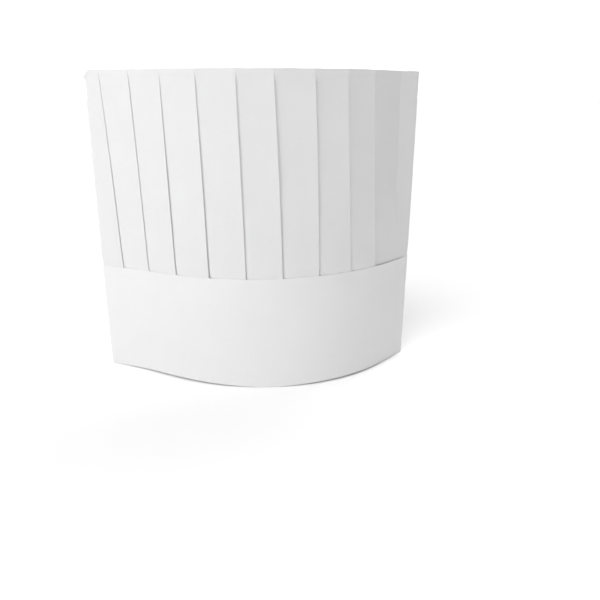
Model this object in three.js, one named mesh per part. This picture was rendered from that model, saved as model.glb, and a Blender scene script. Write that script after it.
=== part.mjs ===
// Paper chef hat, open at the top: a knife-pleated crown whose foot is tucked into a plain headband.
// Both are paper tubes with a sharp upright crease at the left and at the right, where the hat folds flat.
// Units are millimetres and +Z is up. The hat faces -Y, and its creases lie towards -X and +X.
// The origin is on the floor, under the middle of the hat.
import * as THREE from 'three';

// Driving dimensions
const HAT_HEIGHT = 230;
const HALF_GIRTH = 280;
const BAND_HEIGHT = 85;
const PAPER = 1;
const AIR = 0.3;
const UNDERLAP = 7.5;
const TUCK = 23;
const SWELL_HEIGHT = 12;
const RIM_SWAY = 1.1;
const PLEATS_BEHIND = 11;
const SEAM_PLACE = 1.3 * HALF_GIRTH;
const SEAM_LAP = 15;
const SEAM_STEP = 0.5;
const SEAM_FADE = 4;
const BAND_LOOK = { color: 0xf3f3f2, roughness: 0.8 };
const CROWN_LOOK = { color: 0xededec, roughness: 0.85 };

// Plan of the front, from the left crease to the right one, as a chain of arcs that run smoothly into one
// another. Each row is an arc's end: its distance along the paper from the left crease, and the heading of
// the paper there in degrees off the X axis, positive towards the front. The foot column holds at the floor,
// and the upper column from the band's top edge to the rim.
const FRONT_ARC_ENDS = [
  { distance: 0, foot: 28, upper: 28 },
  { distance: 45, foot: 38, upper: 34 },
  { distance: 75, foot: 33, upper: 30 },
  { distance: 160, foot: -2, upper: -6 },
  { distance: 240, foot: -40, upper: -37 },
  { distance: HALF_GIRTH, foot: -46, upper: -50 },
];
const LEFT_CREASE = {
  foot: { x: -125, y: 4 },
  upper: { x: -124.5, y: 1.5 },
};

// Pleat folds seen from the front. Each row is one raised fold, with its distance along the paper from the
// left crease at the band's top edge and at the rim. They lean to the left, but for the last, upright one.
const FRONT_FOLDS = [
  { atBand: 19, atRim: 11.5 },
  { atBand: 43, atRim: 37 },
  { atBand: 68, atRim: 63.5 },
  { atBand: 95.5, atRim: 91 },
  { atBand: 123.5, atRim: 119 },
  { atBand: 150.5, atRim: 144.5 },
  { atBand: 178.5, atRim: 173 },
  { atBand: 206, atRim: 198 },
  { atBand: 231.5, atRim: 222.5 },
  { atBand: 260.5, atRim: 260.5 },
];
// The folds behind lie evenly between these two, which are the nearest ones to the creases.
const FOLD_PAST_RIGHT_CREASE = { atBand: 294, atRim: 289 };
const FOLD_BEFORE_LEFT_CREASE = { atBand: 553.5, atRim: 544.5 };

// Sampling
const CURVE_STEPS = 280;
const BAND_STEPS = 36;
const BAND_LEVELS = 2;
const CROWN_LEVELS = 3;

// The paper lies three deep at a pleat's fold: the panel on top, a strip folded back, and the next panel.
// Each row is one corner of the paper there, in the order in which the paper runs. It says how far before
// the fold the corner lies, and how deep under the top panel's outer face, for both faces of the paper.
const LAYER = PAPER + AIR;
const STACK = 2 * LAYER + PAPER;
const FOLD_CORNERS = [
  { outerBefore: 0, outerDepth: 0, innerBefore: PAPER, innerDepth: PAPER },
  { outerBefore: 0, outerDepth: LAYER + PAPER, innerBefore: PAPER, innerDepth: LAYER },
  { outerBefore: UNDERLAP - PAPER, outerDepth: LAYER + PAPER, innerBefore: UNDERLAP, innerDepth: LAYER },
  { outerBefore: UNDERLAP - PAPER, outerDepth: 2 * LAYER, innerBefore: UNDERLAP, innerDepth: STACK },
];

const { clamp, degToRad, lerp } = THREE.MathUtils;

// Plan curves

// Points along the front at the foot or above it, found by walking the arcs from the left crease.
function frontCurve(column) {
  const ends = FRONT_ARC_ENDS.map((row) => row.distance);
  const headings = FRONT_ARC_ENDS.map((row) => row[column]);
  const heading = new THREE.LinearInterpolant(ends, headings, 1);
  const stride = HALF_GIRTH / CURVE_STEPS;
  const point = new THREE.Vector2(LEFT_CREASE[column].x, LEFT_CREASE[column].y);
  const points = [point.clone()];
  for (let i = 0; i < CURVE_STEPS; i += 1) {
    const angle = degToRad(heading.evaluate((i + 0.5) * stride)[0]);
    point.x += stride * Math.cos(angle);
    point.y -= stride * Math.sin(angle);
    points.push(point.clone());
  }
  return points;
}

// The back is the mirror image of the front across the line that joins the two creases.
function mirrored(points) {
  const start = points[0];
  const chord = points[points.length - 1].clone().sub(start).normalize();
  return points.map((point) => {
    const offset = point.clone().sub(start);
    const alongChord = chord.clone().multiplyScalar(offset.dot(chord));
    return start.clone().addScaledVector(alongChord, 2).sub(offset);
  });
}

function closedCurve(column) {
  const front = frontCurve(column);
  const back = mirrored(front).reverse();
  return [...front, ...back.slice(1)];
}

const PLAN = { foot: closedCurve('foot'), upper: closedCurve('upper') };

// Point of a closed curve at a distance along the paper, from the left crease over the front and back again.
function curvePoint(curve, distance) {
  const place = (distance / HALF_GIRTH) * CURVE_STEPS;
  const index = Math.min(Math.floor(place), curve.length - 2);
  return curve[index].clone().lerp(curve[index + 1], place - index);
}

// Point of the hat's outer face at a distance along the paper and a height.
function facePoint(distance, height) {
  const rise = clamp(height / BAND_HEIGHT, 0, 1);
  const sway = clamp((height - BAND_HEIGHT) / (HAT_HEIGHT - BAND_HEIGHT), 0, 1);
  const point = curvePoint(PLAN.foot, distance).lerp(curvePoint(PLAN.upper, distance), rise);
  point.x += RIM_SWAY * sway;
  return point;
}

// Mitre vector at each corner of a closed outline. It points outward, and adding it to every corner moves
// each side of the outline out by one millimetre.
function mitres(points) {
  const count = points.length;
  const normals = points.map((point, i) => {
    const side = points[(i + 1) % count].clone().sub(point).normalize();
    return new THREE.Vector2(side.y, -side.x);
  });
  return normals.map((after, i) => {
    const before = normals[(i + count - 1) % count];
    return before.clone().add(after).divideScalar(1 + before.dot(after));
  });
}

// Corners of the outline at one height that lies at an even depth inside the hat's outer face.
function outline(distances, height, depth) {
  const face = distances.map((distance) => facePoint(distance, height));
  const outward = mitres(face);
  const points = face.map((point, i) => point.addScaledVector(outward[i], -depth));
  const pointMitres = mitres(points);
  return distances.map((distance, i) => ({ distance, point: points[i], mitre: pointMitres[i] }));
}

// Thin walls

// Closed wall between matching outer and inner rings of points, given level by level from the bottom up.
function wallGeometry(levels) {
  const count = levels[0].outer.length;
  const positions = [];
  const triangles = [];
  levels.forEach(({ outer, inner, height }) => {
    [...outer, ...inner].forEach((point) => positions.push(point.x, point.y, height));
  });
  const quad = (a, b, c, d) => triangles.push(a, b, c, a, c, d);
  const top = 2 * count * (levels.length - 1);
  for (let i = 0; i < count; i += 1) {
    const next = (i + 1) % count;
    for (let low = 0; low < top; low += 2 * count) {
      const high = low + 2 * count;
      quad(low + i, low + next, high + next, high + i);
      quad(low + count + next, low + count + i, high + count + i, high + count + next);
    }
    quad(top + i, top + next, top + count + next, top + count + i);
    quad(next, i, count + i, count + next);
  }
  const geometry = new THREE.BufferGeometry();
  geometry.setAttribute('position', new THREE.Float32BufferAttribute(positions, 3));
  geometry.setIndex(triangles);
  geometry.computeVertexNormals();
  return geometry;
}

// Headband

// One end of the strip is glued over the other behind, so the outer face steps out there and then fades.
function seamRise(distance) {
  const past = distance - SEAM_PLACE;
  if (past < SEAM_STEP || past > SEAM_LAP + SEAM_FADE) {
    return 0;
  }
  return PAPER * Math.min(1, (SEAM_LAP + SEAM_FADE - past) / SEAM_FADE);
}

// Evenly spaced places round the band, without those next to the places that shape the seam.
function bandDistances() {
  const stride = HALF_GIRTH / BAND_STEPS;
  const even = Array.from({ length: 2 * BAND_STEPS }, (_, i) => i * stride);
  const seam = [0, SEAM_STEP, SEAM_LAP, SEAM_LAP + SEAM_FADE].map((past) => SEAM_PLACE + past);
  const clear = even.filter((distance) => seam.every((mark) => Math.abs(mark - distance) > PAPER));
  return [...clear, ...seam].sort((a, b) => a - b);
}

function bandSection(height) {
  const corners = outline(bandDistances(), height, 0);
  const outer = corners.map(({ distance, point, mitre }) => {
    return point.clone().addScaledVector(mitre, seamRise(distance));
  });
  const inner = corners.map(({ point, mitre }) => point.clone().addScaledVector(mitre, -PAPER));
  return { outer, inner, height };
}

function headbandGeometry() {
  const heights = Array.from({ length: BAND_LEVELS + 1 }, (_, i) => (i / BAND_LEVELS) * BAND_HEIGHT);
  return wallGeometry(heights.map(bandSection));
}

// Pleated crown

// Distance along the paper of every raised fold at one height, over the front and then behind.
function foldDistances(height) {
  const rise = (height - BAND_HEIGHT) / (HAT_HEIGHT - BAND_HEIGHT);
  const distance = (fold) => lerp(fold.atBand, fold.atRim, rise);
  const first = distance(FOLD_PAST_RIGHT_CREASE);
  const last = distance(FOLD_BEFORE_LEFT_CREASE);
  const behind = Array.from({ length: PLEATS_BEHIND }, (_, i) => lerp(first, last, i / (PLEATS_BEHIND - 1)));
  return [...FRONT_FOLDS.map(distance), ...behind];
}

// How deep the crown's folds lie inside the hat's outer face: behind the band at the crown's foot, and level
// with that face where the crown has swelled out above the band.
function crownDepth(height) {
  const swelled = clamp((height - BAND_HEIGHT - AIR) / SWELL_HEIGHT, 0, 1);
  return lerp(LAYER, 0, swelled);
}

// Folds and creases of the crown at one height, closed by a copy of the first.
function crownCorners(height) {
  const creases = [0, HALF_GIRTH];
  const distances = [...creases, ...foldDistances(height)].sort((a, b) => a - b);
  const corners = outline(distances, height, crownDepth(height)).map((corner) => {
    return { ...corner, crease: creases.includes(corner.distance) };
  });
  return [...corners, { ...corners[0], distance: 2 * HALF_GIRTH }];
}

// Point of one flat facet, at a distance before its end and a depth under its outer face. Behind a fold a
// facet starts two layers down and climbs to the surface, and behind a crease it is at the surface already.
function facetPoint(start, end, before, depth) {
  const share = 1 - before / (end.distance - start.distance);
  const startDepth = start.crease ? 0 : 2 * LAYER;
  const fullDepth = depth + startDepth * (1 - share);
  const from = start.point.clone().addScaledVector(start.mitre, -fullDepth);
  const to = end.point.clone().addScaledVector(end.mitre, -fullDepth);
  return from.lerp(to, share);
}

// Saw-tooth section of the crown's one sheet, with the outer and inner face of the paper point for point.
function crownSection(height) {
  const corners = crownCorners(height);
  const outer = [];
  const inner = [];
  for (let i = 0; i + 1 < corners.length; i += 1) {
    const start = corners[i];
    const end = corners[i + 1];
    const length = end.distance - start.distance;
    const add = ({ outerBefore, outerDepth, innerBefore, innerDepth }) => {
      outer.push(facetPoint(start, end, outerBefore, outerDepth));
      inner.push(facetPoint(start, end, innerBefore, innerDepth));
    };
    if (!start.crease) {
      add({ outerBefore: length, outerDepth: 0, innerBefore: length, innerDepth: PAPER });
    }
    if (end.crease) {
      add({ outerBefore: 0, outerDepth: 0, innerBefore: 0, innerDepth: PAPER });
    } else {
      FOLD_CORNERS.forEach(add);
    }
  }
  return { outer, inner, height };
}

function crownGeometry() {
  const bandTop = BAND_HEIGHT + AIR;
  const swellTop = bandTop + SWELL_HEIGHT;
  const shares = Array.from({ length: CROWN_LEVELS + 1 }, (_, i) => i / CROWN_LEVELS);
  const above = shares.map((share) => lerp(swellTop, HAT_HEIGHT, share));
  return wallGeometry([BAND_HEIGHT - TUCK, bandTop, ...above].map(crownSection));
}

// Assembly

function paperMesh(name, geometry, look) {
  const material = new THREE.MeshStandardMaterial({ ...look, metalness: 0 });
  const mesh = new THREE.Mesh(geometry, material);
  mesh.name = name;
  return mesh;
}

const hat = new THREE.Group();
hat.add(paperMesh('headband', headbandGeometry(), BAND_LOOK));
hat.add(paperMesh('pleated_crown', crownGeometry(), CROWN_LOOK));

const middle = new THREE.Box3().setFromObject(hat).getCenter(new THREE.Vector3());
hat.position.set(-middle.x, -middle.y, 0);

export default hat;
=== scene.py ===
"""Looks of a paper chef hat: thin folded paper in the place of its solids, in soft studio light."""
import math

import bpy
import numpy as np
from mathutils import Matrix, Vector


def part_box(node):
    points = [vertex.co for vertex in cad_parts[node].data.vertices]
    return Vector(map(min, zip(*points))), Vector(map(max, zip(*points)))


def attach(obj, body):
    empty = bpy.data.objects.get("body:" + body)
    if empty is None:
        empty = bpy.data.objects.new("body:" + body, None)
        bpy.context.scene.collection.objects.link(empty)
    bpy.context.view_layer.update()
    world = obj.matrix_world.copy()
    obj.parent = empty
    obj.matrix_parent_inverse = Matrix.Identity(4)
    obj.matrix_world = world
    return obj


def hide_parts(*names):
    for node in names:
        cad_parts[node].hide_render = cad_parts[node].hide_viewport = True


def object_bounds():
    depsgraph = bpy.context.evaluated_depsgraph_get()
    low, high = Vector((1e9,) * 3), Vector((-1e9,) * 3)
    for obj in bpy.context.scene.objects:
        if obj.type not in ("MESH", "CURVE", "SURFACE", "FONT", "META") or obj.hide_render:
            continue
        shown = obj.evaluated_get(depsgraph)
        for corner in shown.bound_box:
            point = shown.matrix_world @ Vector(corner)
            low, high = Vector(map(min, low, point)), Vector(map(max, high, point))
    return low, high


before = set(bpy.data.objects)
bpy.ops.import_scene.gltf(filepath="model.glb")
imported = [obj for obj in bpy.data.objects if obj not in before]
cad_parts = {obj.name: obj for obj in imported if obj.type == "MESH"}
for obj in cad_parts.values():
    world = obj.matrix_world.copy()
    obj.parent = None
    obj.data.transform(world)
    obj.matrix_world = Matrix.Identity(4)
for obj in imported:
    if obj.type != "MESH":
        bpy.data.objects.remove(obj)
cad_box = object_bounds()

# Lengths are in millimetres until a mesh is made, and the hat faces -Y.
MM = 0.001
HAT_HEIGHT = cad_box[1].z / MM
BAND_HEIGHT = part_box("headband")[1].z / MM
CROWN_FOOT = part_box("pleated_crown")[0].z / MM
HALF_GIRTH = 280.0
# From the band's top edge up to the rim the crown leans to the right by this.
RIM_SWAY = 1.1

# Plan of the front, from the left crease to the right one, as a chain of arcs that run smoothly into one
# another. Each row is an arc's end: its distance along the paper, and the heading of the paper there in
# degrees off the X axis, positive towards the front. The foot column holds at the floor, and the upper
# column from the band's top edge to the rim. The left crease is a plan point for each of the two.
FRONT_ARC_ENDS = [
    {"distance": 0.0, "foot": 28.0, "upper": 28.0},
    {"distance": 45.0, "foot": 38.0, "upper": 34.0},
    {"distance": 75.0, "foot": 33.0, "upper": 30.0},
    {"distance": 160.0, "foot": -2.0, "upper": -6.0},
    {"distance": 240.0, "foot": -40.0, "upper": -37.0},
    {"distance": HALF_GIRTH, "foot": -46.0, "upper": -50.0},
]
LEFT_CREASE = {"foot": (-124.9, 4.8), "upper": (-124.4, 2.3)}

# Raised folds seen from the front. The first two columns are distances from the left crease, at the band's
# top edge and at the rim, and "wander" is how far the fold strays from a straight line half-way up. The
# lifts say how far the paper beside the fold lies under it, beyond the folded layers, and "gape" adds to
# them half-way up. "sunk" is how far the fold itself lies inside the hat's face. "open" is how much of the
# gap at the band goes on along the panel.
FOLD_COLUMNS = ("at_band", "at_rim", "wander", "lift_at_band", "lift_at_rim", "gape", "sunk", "open")
FRONT_FOLD_VALUES = [
    (19.0, 11.5, 0.4, 0.50, 0.10, 0.10, 0.0, 0.0),
    (43.0, 37.0, 0.3, 0.50, 0.30, 0.07, 0.0, 0.0),
    (68.0, 63.5, 0.0, 0.70, 0.22, 0.31, 0.0, 0.0),
    (95.5, 91.0, 0.2, 1.07, 0.48, 0.14, 0.0, 0.0),
    (123.5, 119.0, 0.2, 0.78, 0.48, 0.22, 0.0, 0.0),
    (150.5, 144.5, 0.5, 1.12, 0.68, 0.36, 0.0, 0.0),
    (178.5, 173.0, 0.7, 1.00, 0.85, 0.15, 0.0, 0.0),
    (206.0, 198.0, 0.2, 0.93, 0.38, 0.00, 0.0, 0.0),
    (231.5, 222.5, 0.0, 1.00, 0.28, 0.00, 0.8, 1.0),
    (260.5, 260.5, 0.8, 0.68, 0.20, 0.00, 6.0, 0.0),
]
FRONT_FOLDS = [dict(zip(FOLD_COLUMNS, values)) for values in FRONT_FOLD_VALUES]

# The folds behind lie evenly between these two, which are the nearest ones to the creases. Each lifts by its
# own amount, and strays the more from a straight line the more it lifts, to one side and the other in turn.
FOLD_PAST_RIGHT_CREASE = {"at_band": 294.0, "at_rim": 289.0}
FOLD_BEFORE_LEFT_CREASE = {"at_band": 553.5, "at_rim": 544.5}
PLEATS_BEHIND = 11
BACK_LIFT = {"least": 0.38, "most": 1.18}
BACK_RIM_LIFT_SHARE = 0.4
BACK_WANDER_PER_LIFT = 1.6

# Pleats
UNDERLAP = 7.5
FOLDED_GAP = 0.15
FOLD_RADIUS = FOLDED_GAP / 2
PANEL_BOW = 0.12
# From the band up, a change of pace 1 is complete at the rim, and one of pace 2 half-way there.
OPENING_PACE = 1.6
SINKING_PACE = 2.0
# How far from a fold the paper lies pressed under it: hardly at the flat rim, and further below.
PRESSED_REACH = {"rim": 0.12, "below": 3.0}
# The pleats are pressed quite flat at the rim, and this flatness fades away further down.
FLAT_RIM = 3.5
FLAT_FADE = 6.0

# Crown paper. Its foot is tucked into the band, and it swells out to the hat's face just above.
CROWN_PAPER = 0.12
TUCK_GAP = 0.06
SWELL_HEIGHT = 9.0
# Beside the right crease the crown's paper stands further inside the band's edge, round this distance.
LOOSE_TUCK = 0.3
LOOSE_PLACE = 260.0
LOOSE_REACH = 22.0
# The top corner at the left crease is worn off on the slant and bends outward a little.
WORN_CORNER = {"down": 4.4, "along": 4.2, "reach": 10.0}
CORNER_FLARE = 0.85
# The rim dips by up to twice this, by the product of two waves with these lengths for each radian.
RIM_UNEVEN = 0.12
LONG_RIM_WAVE = 11.0
SHORT_RIM_WAVE = 4.3

# Band paper. The strip's ends are glued with a lap behind. The outer end stands out there, and just past the
# lap the strip comes back to the hat's face.
BAND_PAPER = 0.28
SEAM_PLACE = 1.3 * HALF_GIRTH
SEAM_LAP = 15.0
SEAM_FADE = 8.0
GLUE = 0.06
# The foot stands clear of the floor in two low arches on each side of the hat.
FOOT_ARCH = 1.8
# The strip swells a little half-way up, and ripples towards its foot. The slant is a height a radian.
BAND_SWELL = 0.05
RIPPLE = 0.12
RIPPLE_HALF_WAVE = 70.0
RIPPLE_SLANT = 60.0

# Fineness of the meshes. Points lie at the near distances after a fold and before the next one, and closer
# together on a panel that is narrower than a full one.
CURVE_STEPS = 280
BAND_STRIDE = 3.5
BAND_LEVELS = 18
NEAR_FOLD = [0.12, 0.4, 1.0, 1.8, 3.0, 4.6]
NEAR_END = [2.0, 0.8]
FULL_PANEL = 12.0
PANEL_COLUMNS = 5
ARC_TURNS = np.radians([-90, -60, -30, 0, 30, 60, 90])
TUCKED_LEVELS = 3
SWELL_LEVELS = 6
LEVELS_ABOVE = 18
LEVELS_UNDER_RIM = [8.3, 7.1, 5.9, 4.7, 3.5, 0.0]
SHARP_ANGLE = 38.0

# Paper finish
BAND_FINISH = {"tone": 0.873, "roughness": 0.78, "grain": 0.03}
CROWN_FINISH = {"tone": 0.833, "roughness": 0.85, "grain": 0.045}
CLOUDS = {"scale": 45.0, "detail": 4.0, "stretch": (1, 1, 1)}
FIBRES = {"scale": 1500.0, "detail": 3.0, "stretch": (1, 1, 0.25)}
NOISE_RANGE = (0.3, 0.7)
DARKER_SHARE = 0.97
POLISH_CHANGE = 0.05
PAPER_SPECULAR = 0.25

# Camera. Its focal length is in pixels of the picture, and its angles in degrees.
IMAGE_SIZE = 600
FOCAL_PIXELS = 622.2
SENSOR = 36.0
CLIP_START = 10.0
CAMERA_PLACE = (-36.2, -489.0, 215.25)
CAMERA_YAW = -7.96
CAMERA_PITCH = 18.535

# Light and floor. Azimuths run from the front towards the left, and the floor and the panel are in metres.
SUNS = [
    {"name": "key", "azimuth": 40.0, "elevation": 50.0, "angle": 40.0, "strength": 1.1},
    {"name": "overhead", "azimuth": 0.0, "elevation": 70.0, "angle": 60.0, "strength": 1.24},
    {"name": "back", "azimuth": 180.0, "elevation": 45.0, "angle": 60.0, "strength": 0.86},
    {"name": "rear_right", "azimuth": -135.0, "elevation": 35.0, "angle": 40.0, "strength": 1.07},
]
SIDE_PANEL = {"azimuth": 60.0, "elevation": 20.0, "distance": 0.7, "side": 0.3, "power": 0.85}
BACKGROUND_STRENGTH = 1.3
FLOOR_SIZE = 40.0
FLOOR_TONE = 0.985

# Random values, always drawn in this order
rng = np.random.default_rng(7)
back_lifts = rng.uniform(BACK_LIFT["least"], BACK_LIFT["most"], PLEATS_BEHIND)
bows = rng.uniform(-PANEL_BOW, PANEL_BOW, len(FRONT_FOLDS) + PLEATS_BEHIND + 2)
ripple_phase = rng.uniform(0, 2 * math.pi)


# Shares of a way

def between(first, last, share):
    return first + (last - first) * share


def eased(share):
    share = np.clip(share, 0, 1)
    return share * share * (3 - 2 * share)


def rise_above_band(height):
    """0 at the band's top edge, 1 at the rim, and below 0 inside the band."""
    return (height - BAND_HEIGHT) / (HAT_HEIGHT - BAND_HEIGHT)


# Plan curves

def front_curve(column):
    """Points along the front, found by walking the arcs from the left crease."""
    ends = [row["distance"] for row in FRONT_ARC_ENDS]
    headings = [row[column] for row in FRONT_ARC_ENDS]
    stride = HALF_GIRTH / CURVE_STEPS
    angle = np.radians(np.interp((np.arange(CURVE_STEPS) + 0.5) * stride, ends, headings))
    steps = stride * np.column_stack([np.cos(angle), -np.sin(angle)])
    return np.array(LEFT_CREASE[column]) + np.vstack([np.zeros(2), np.cumsum(steps, axis=0)])


def mirrored(points):
    """The back is the mirror image of the front across the line that joins the two creases."""
    chord = points[-1] - points[0]
    chord = chord / np.linalg.norm(chord)
    offset = points - points[0]
    return points[0] + 2 * np.outer(offset @ chord, chord) - offset


def closed_curve(column):
    front = front_curve(column)
    return np.vstack([front, mirrored(front)[::-1][1:]])


PLAN = {column: closed_curve(column) for column in LEFT_CREASE}


def curve_points(curve, distances):
    place = np.mod(distances, 2 * HALF_GIRTH) / HALF_GIRTH * CURVE_STEPS
    return np.column_stack([np.interp(place, np.arange(len(curve)), curve[:, axis]) for axis in (0, 1)])


def face_points(distances, height):
    """Points of the hat's outer face at distances along the paper from the left crease, and one height."""
    rise = np.clip(height / BAND_HEIGHT, 0, 1)
    sway = np.clip(rise_above_band(height), 0, 1)
    foot = curve_points(PLAN["foot"], distances)
    upper = curve_points(PLAN["upper"], distances)
    return between(foot, upper, rise) + np.array([RIM_SWAY * sway, 0.0])


def mitres(points, closed=True):
    """Outward vector at each corner of a line. Adding it to each corner moves every side out by 1 mm."""
    after = np.roll(points, -1, axis=0) - points
    if not closed:
        after[-1] = after[-2]
    after = after / np.linalg.norm(after, axis=1)[:, None]
    after = np.column_stack([after[:, 1], -after[:, 0]])
    before = np.roll(after, 1, axis=0)
    if not closed:
        before[0] = after[0]
    return (before + after) / (1 + np.sum(before * after, axis=1))[:, None]


# Meshes

def wall_faces(count, level_count, closed):
    """Faces of a thin wall whose every level has an outer line of points and then an inner one."""
    faces = []
    step = 2 * count
    top = step * (level_count - 1)
    for i in range(count if closed else count - 1):
        following = (i + 1) % count
        for low in range(0, top, step):
            high = low + step
            inner_low = low + count
            inner_high = high + count
            faces.append((low + i, low + following, high + following, high + i))
            faces.append((inner_low + following, inner_low + i, inner_high + i, inner_high + following))
        faces.append((top + i, top + following, top + count + following, top + count + i))
        faces.append((following, i, count + i, count + following))
    if not closed:
        last = count - 1
        for low in range(0, top, step):
            high = low + step
            faces.append((low + count, low, high, high + count))
            faces.append((low + last, low + count + last, high + count + last, high + last))
    return faces


def wall_mesh(name, levels, closed=True):
    """Thin wall between matching outer and inner lines of points, given from the bottom up."""
    count = len(levels[0]["outer"])
    vertices = []
    for level in levels:
        heights = np.broadcast_to(level["height"], (count,))
        for side in (level["outer"], level["inner"]):
            vertices.append(np.column_stack([side, heights]))
    mesh = bpy.data.meshes.new(name)
    mesh.from_pydata((np.vstack(vertices) * MM).tolist(), [], wall_faces(count, len(levels), closed))
    mesh.validate()
    mesh.shade_smooth()
    mesh.set_sharp_from_angle(angle=math.radians(SHARP_ANGLE))
    return mesh


def add_piece(mesh, material):
    piece = bpy.data.objects.new(mesh.name, mesh)
    bpy.context.scene.collection.objects.link(piece)
    mesh.materials.append(material)
    return piece


# Headband

def seam_rise(past):
    """How far the strip stands out where its outer end lies over its inner end."""
    return (BAND_PAPER + GLUE) * eased((SEAM_LAP + SEAM_FADE - past) / SEAM_FADE)


def band_distances():
    """Places along the strip, from its outer end to its inner one, with one on each crease."""
    marks = [
        SEAM_PLACE,
        SEAM_PLACE + SEAM_LAP + SEAM_FADE,
        2 * HALF_GIRTH,
        3 * HALF_GIRTH,
        SEAM_PLACE + 2 * HALF_GIRTH + SEAM_LAP,
    ]
    places = [np.array([marks[0]])]
    for start, end in zip(marks, marks[1:]):
        count = max(2, round((end - start) / BAND_STRIDE))
        places.append(np.linspace(start, end, count + 1)[1:])
    return np.concatenate(places)


def band_level(distances, height):
    face = face_points(distances, height)
    outward = mitres(face, closed=False)
    towards_foot = 1 - height / BAND_HEIGHT
    swell = BAND_SWELL * math.sin(math.pi * height / BAND_HEIGHT)
    wave = np.sin(distances * math.pi / RIPPLE_HALF_WAVE + ripple_phase + height / RIPPLE_SLANT)
    ripple = RIPPLE * towards_foot * wave * np.abs(np.sin(distances * math.pi / HALF_GIRTH))
    out = (seam_rise(distances - SEAM_PLACE) + swell + ripple)[:, None]
    arch = FOOT_ARCH * np.abs(np.sin(2 * math.pi * distances / HALF_GIRTH))
    return {
        "outer": face + outward * out,
        "inner": face + outward * (out - BAND_PAPER),
        "height": height + arch * towards_foot,
    }


def headband():
    distances = band_distances()
    heights = np.linspace(0, BAND_HEIGHT, BAND_LEVELS + 1)
    return wall_mesh("folded_band", [band_level(distances, height) for height in heights], closed=False)


# Pleated crown

def fold_rows():
    """Rows for all raised folds, over the front and then behind."""
    rows = list(FRONT_FOLDS)
    for i, lift in enumerate(back_lifts):
        share = i / (PLEATS_BEHIND - 1)
        place = {
            key: between(FOLD_PAST_RIGHT_CREASE[key], FOLD_BEFORE_LEFT_CREASE[key], share)
            for key in FOLD_PAST_RIGHT_CREASE
        }
        rows.append({
            **place,
            "wander": BACK_WANDER_PER_LIFT * (lift - BACK_LIFT["least"]) * (-1) ** i,
            "lift_at_band": lift,
            "lift_at_rim": BACK_RIM_LIFT_SHARE * lift,
            "gape": 0.0,
            "sunk": 0.0,
            "open": 0.0,
        })
    return rows


FOLD_ROWS = fold_rows()


def corner_wear(height):
    """How much of the corner's wear reaches down to a height."""
    return max(0.0, 1 - (HAT_HEIGHT - height) / WORN_CORNER["reach"])


def flatness_at(height):
    """1 where the pleats are pressed flat at the rim, and 0 where they gape freely."""
    return eased(1 - (HAT_HEIGHT - height - FLAT_RIM) / FLAT_FADE)


def tucked_share(height):
    """1 where the crown lies inside the band, and 0 where it has swelled out to the hat's face."""
    return 1 - eased((height - BAND_HEIGHT) / SWELL_HEIGHT)


def crease_corner(distance):
    return {"distance": distance, "crease": True, "sunk": 0.0, "drop": 0.0, "open": 0.0}


def fold_corner(row, height):
    """One raised fold at a height: its place, how far it is sunk, and how the next panel drops under it."""
    rise = rise_above_band(height)
    free = 1 - flatness_at(height)
    lift = between(row["lift_at_band"], row["lift_at_rim"], eased(rise))
    lift += row["gape"] * math.sin(math.pi * max(rise, 0.0))
    return {
        "distance": between(row["at_band"], row["at_rim"], rise) + row["wander"] * math.sin(math.pi * rise),
        "crease": False,
        "sunk": row["sunk"] * eased(SINKING_PACE * rise),
        "drop": 2 * FOLDED_GAP + lift * free,
        "open": (row["open"] + eased(OPENING_PACE * rise)) * free,
    }


def corners_at(height):
    """Folds and creases at one height in order round the hat, each with its plan point and its mitre."""
    corners = [crease_corner(crease) for crease in (0.0, HALF_GIRTH)]
    corners += [fold_corner(row, height) for row in FOLD_ROWS]
    corners.sort(key=lambda corner: corner["distance"])
    distances = np.array([corner["distance"] for corner in corners])
    sunk = np.array([corner["sunk"] for corner in corners])
    loose = LOOSE_TUCK * eased(1 - np.abs(distances - LOOSE_PLACE) / LOOSE_REACH)
    tucked = (BAND_PAPER + TUCK_GAP + loose) * tucked_share(height)
    face = face_points(distances, height)
    flare = CORNER_FLARE * corner_wear(height) ** 3 * (distances == 0)
    edge = face - mitres(face) * (tucked + sunk + CROWN_PAPER / 2 - flare)[:, None]
    for corner, on_face, point, mitre in zip(corners, face, edge, mitres(edge)):
        corner["on_face"] = on_face
        corner["point"] = point
        corner["mitre"] = mitre
    return corners


def panel_line(start, end, length, bow, height):
    """Distances along one panel and how deep the paper lies there, on from the corner that it starts at."""
    crowding = min(1.0, length / FULL_PANEL)
    near = np.array(NEAR_FOLD) * crowding
    before_end = np.array(NEAR_END) * crowding
    far = np.linspace(near[-1], length - before_end[0], PANEL_COLUMNS + 1)[1:]
    along = np.concatenate([near, far, length - before_end[1:]])
    reach = between(PRESSED_REACH["below"], PRESSED_REACH["rim"], flatness_at(height))
    sinking = start["drop"] * (1 - along / length)
    pressed = start["drop"] * np.exp(-along / reach)
    share_open = np.clip(start["open"], 0, 1)
    bowed = bow * (1 - tucked_share(height)) * np.sin(math.pi * along / length)
    depth = share_open * sinking + (1 - share_open) * pressed + bowed
    if start["crease"]:
        return along, depth
    return np.concatenate([[0.0], along]), np.concatenate([[start["drop"]], depth])


def panel_end(end, length):
    """Distances and depths at a panel's end: a plain crease, or the fold and the strip folded back under."""
    if end["crease"]:
        return [length], [0.0]
    outer_middle = length - FOLD_RADIUS
    inner_middle = length - UNDERLAP + FOLD_RADIUS
    along = [
        outer_middle + FOLD_RADIUS * np.cos(ARC_TURNS),
        inner_middle - FOLD_RADIUS * np.cos(ARC_TURNS),
    ]
    depth = [
        FOLD_RADIUS * (1 + np.sin(ARC_TURNS)),
        end["drop"] - FOLD_RADIUS * (1 - np.sin(ARC_TURNS)),
    ]
    return np.concatenate(along), np.concatenate(depth)


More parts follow.
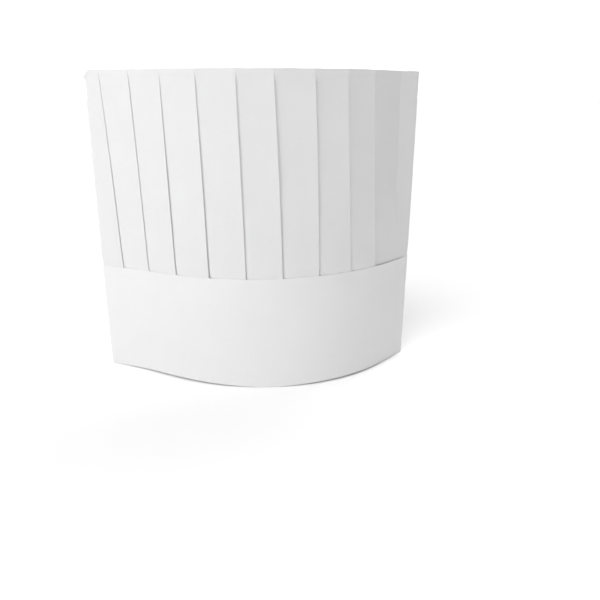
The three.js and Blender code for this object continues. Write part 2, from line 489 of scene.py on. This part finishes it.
def panel_points(start, end, bow, height):
    """Middle line of the paper from one corner to the next, as distances round the hat and plan points."""
    length = np.linalg.norm(end["point"] - start["point"])
    line = panel_line(start, end, length, bow, height)
    along, depth = (np.concatenate(parts) for parts in zip(line, panel_end(end, length)))
    share = along / length
    distances = start["distance"] + share * ((end["distance"] - start["distance"]) % (2 * HALF_GIRTH))
    share = share[:, None]
    depth = depth[:, None]
    near_line = start["point"] - start["mitre"] * depth
    far_line = end["point"] - end["mitre"] * depth
    facet = between(near_line, far_line, share)
    chord = between(start["on_face"], end["on_face"], share)
    return distances, facet + tucked_share(height) * (face_points(distances, height) - chord)


def crown_level(height):
    corners = corners_at(height)
    panels = [
        panel_points(start, end, bow, height)
        for start, end, bow in zip(corners, corners[1:] + corners[:1], bows)
    ]
    distances = np.concatenate([distance for distance, points in panels])
    middle = np.vstack([points for distance, points in panels])
    outward = mitres(middle) * CROWN_PAPER / 2
    to_corner = np.minimum(distances, 2 * HALF_GIRTH - distances)
    worn = np.clip(1 - to_corner / WORN_CORNER["along"], 0, None) * corner_wear(height)
    waves = np.sin(distances / LONG_RIM_WAVE) * np.sin(distances / SHORT_RIM_WAVE)
    uneven = (height == HAT_HEIGHT) * (1 + waves)
    lowered = height - WORN_CORNER["down"] * worn - RIM_UNEVEN * uneven
    return {"outer": middle + outward, "inner": middle - outward, "height": lowered}


def pleated_crown():
    swelling = BAND_HEIGHT + SWELL_HEIGHT * np.linspace(0, 1, SWELL_LEVELS + 1)
    flat_foot = HAT_HEIGHT - FLAT_RIM - FLAT_FADE
    above = np.linspace(BAND_HEIGHT + SWELL_HEIGHT, flat_foot, LEVELS_ABOVE + 1)[1:]
    flattening = HAT_HEIGHT - np.array(LEVELS_UNDER_RIM)
    below = np.linspace(CROWN_FOOT, BAND_HEIGHT, TUCKED_LEVELS + 1)[:-1]
    heights = np.concatenate([below, swelling, above, flattening])
    return wall_mesh("folded_crown", [crown_level(height) for height in heights])


# Paper finish

def paper_material(name, finish):
    """Matt white paper: faint cloudy tone, fine fibres in the surface, and a slightly uneven polish."""
    material = bpy.data.materials.new(name)
    material.use_nodes = True
    nodes = material.node_tree.nodes
    links = material.node_tree.links
    shader = nodes["Principled BSDF"]
    place = nodes.new("ShaderNodeTexCoord")

    def noise(look):
        mapping = nodes.new("ShaderNodeMapping")
        mapping.inputs["Scale"].default_value = look["stretch"]
        texture = nodes.new("ShaderNodeTexNoise")
        texture.inputs["Scale"].default_value = look["scale"]
        texture.inputs["Detail"].default_value = look["detail"]
        links.new(place.outputs["Object"], mapping.inputs["Vector"])
        links.new(mapping.outputs["Vector"], texture.inputs["Vector"])
        return texture.outputs["Fac"]

    def spread(value, low, high):
        node = nodes.new("ShaderNodeMapRange")
        node.inputs["From Min"].default_value = NOISE_RANGE[0]
        node.inputs["From Max"].default_value = NOISE_RANGE[1]
        node.inputs["To Min"].default_value = low
        node.inputs["To Max"].default_value = high
        links.new(value, node.inputs["Value"])
        return node.outputs["Result"]

    clouds = noise(CLOUDS)
    fibres = noise(FIBRES)

    tone = finish["tone"]
    darker = tone * DARKER_SHARE
    tint = nodes.new("ShaderNodeMix")
    tint.data_type = "RGBA"
    tint.inputs["A"].default_value = (darker, darker, darker, 1)
    tint.inputs["B"].default_value = (tone, tone, tone, 1)
    mottle = nodes.new("ShaderNodeMath")
    mottle.operation = "ADD"
    links.new(spread(clouds, 0, 0.5), mottle.inputs[0])
    links.new(spread(fibres, 0, 0.5), mottle.inputs[1])
    links.new(mottle.outputs["Value"], tint.inputs["Factor"])
    links.new(tint.outputs["Result"], shader.inputs["Base Color"])

    smoothest = finish["roughness"] - POLISH_CHANGE
    roughest = finish["roughness"] + POLISH_CHANGE
    links.new(spread(fibres, smoothest, roughest), shader.inputs["Roughness"])
    shader.inputs["Specular IOR Level"].default_value = PAPER_SPECULAR

    bump = nodes.new("ShaderNodeBump")
    bump.inputs["Strength"].default_value = 1.0
    bump.inputs["Distance"].default_value = finish["grain"] * MM
    links.new(fibres, bump.inputs["Height"])
    links.new(bump.outputs["Normal"], shader.inputs["Normal"])
    return material


# Studio

def add_floor():
    material = bpy.data.materials.new("studio_floor")
    material.use_nodes = True
    shader = material.node_tree.nodes["Principled BSDF"]
    shader.inputs["Base Color"].default_value = (FLOOR_TONE, FLOOR_TONE, FLOOR_TONE, 1)
    shader.inputs["Roughness"].default_value = 1.0
    shader.inputs["Specular IOR Level"].default_value = 0.0
    bpy.ops.mesh.primitive_plane_add(size=FLOOR_SIZE, location=(0, 0, 0))
    floor = bpy.context.object
    floor.name = "floor"
    floor.data.materials.append(material)


def add_suns():
    for row in SUNS:
        light = bpy.data.lights.new(row["name"], "SUN")
        light.energy = row["strength"]
        light.angle = math.radians(row["angle"])
        sun = bpy.data.objects.new(row["name"], light)
        sun.rotation_euler = (math.radians(90 - row["elevation"]), 0, -math.radians(row["azimuth"]))
        bpy.context.scene.collection.objects.link(sun)


def add_side_panel():
    """A small soft panel at the left of the front, aimed at the middle of the hat."""
    light = bpy.data.lights.new("side_panel", "AREA")
    light.size = SIDE_PANEL["side"]
    light.energy = SIDE_PANEL["power"]
    panel = bpy.data.objects.new("side_panel", light)
    azimuth = math.radians(SIDE_PANEL["azimuth"])
    elevation = math.radians(SIDE_PANEL["elevation"])
    distance = SIDE_PANEL["distance"]
    panel.location = (
        -distance * math.cos(elevation) * math.sin(azimuth),
        -distance * math.cos(elevation) * math.cos(azimuth),
        distance * math.sin(elevation) + HAT_HEIGHT * MM / 2,
    )
    panel.rotation_euler = (math.pi / 2 - elevation, 0, -azimuth)
    panel.visible_camera = False
    bpy.context.scene.collection.objects.link(panel)


def add_background():
    """White behind the hat. It doesn't light the hat, apart from its faint gloss."""
    world = bpy.data.worlds.new("studio")
    world.use_nodes = True
    background = world.node_tree.nodes["Background"]
    background.inputs["Color"].default_value = (1, 1, 1, 1)
    background.inputs["Strength"].default_value = BACKGROUND_STRENGTH
    world.cycles_visibility.diffuse = False
    bpy.context.scene.world = world


def add_camera():
    data = bpy.data.cameras.new("camera")
    data.sensor_width = SENSOR
    data.lens = SENSOR * FOCAL_PIXELS / IMAGE_SIZE
    data.clip_start = CLIP_START * MM
    camera = bpy.data.objects.new("camera", data)
    camera.location = [value * MM for value in CAMERA_PLACE]
    camera.rotation_euler = (math.radians(90 - CAMERA_PITCH), 0, math.radians(CAMERA_YAW))
    bpy.context.scene.collection.objects.link(camera)
    bpy.context.scene.camera = camera


# Assembly

band = add_piece(headband(), paper_material("band_paper", BAND_FINISH))
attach(band, "root")
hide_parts("headband")

crown = add_piece(pleated_crown(), paper_material("crown_paper", CROWN_FINISH))
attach(crown, "root")
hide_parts("pleated_crown")

add_floor()
add_suns()
add_side_panel()
add_background()
add_camera()
bpy.context.scene.view_settings.view_transform = "Standard"
